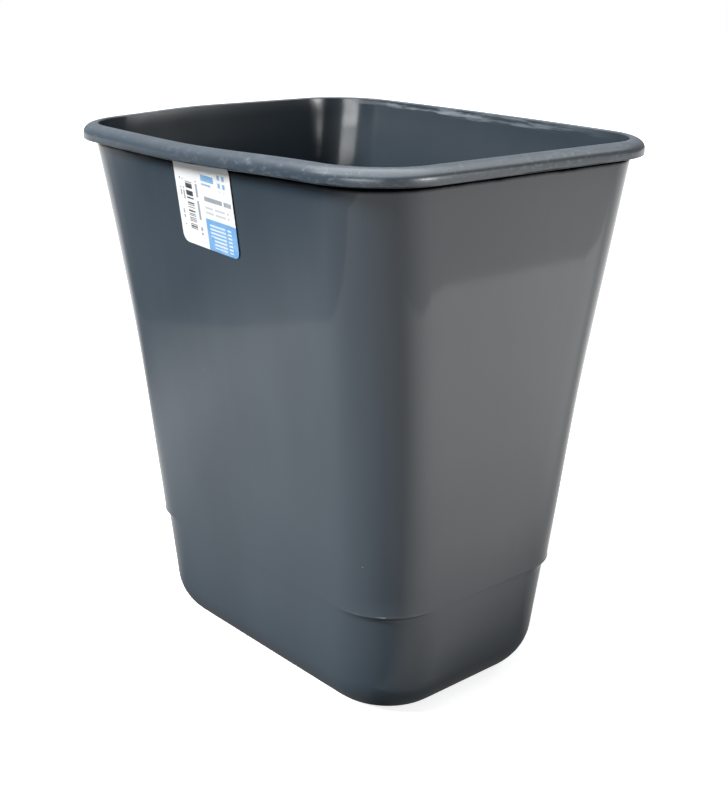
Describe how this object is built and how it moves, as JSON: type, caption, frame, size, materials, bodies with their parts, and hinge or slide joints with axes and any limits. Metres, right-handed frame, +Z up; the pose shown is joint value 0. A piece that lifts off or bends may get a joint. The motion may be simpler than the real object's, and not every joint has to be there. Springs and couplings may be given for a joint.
{
  "type": "rectangular wastebasket",
  "caption": "Open-topped rectangular office wastebasket with tapered walls, round corners, a stacking step, a turned-down rim and a plain printed label.",
  "frame": {"origin": "middle of the footprint, on the floor", "axes": "+X along the long sides, +Y along the short sides towards the back (the label is on the -Y side), +Z up"},
  "size_m": [0.2654, 0.2288, 0.308],
  "materials": {
    "slate_polypropylene": "semi-gloss injection-moulded polypropylene, dark blue-grey",
    "label_stock": "coated white label stock with plain printed panels"
  },
  "bodies": {
    "root": {"basket": "slate_polypropylene", "label": "label_stock"}
  },
  "joints": []
}
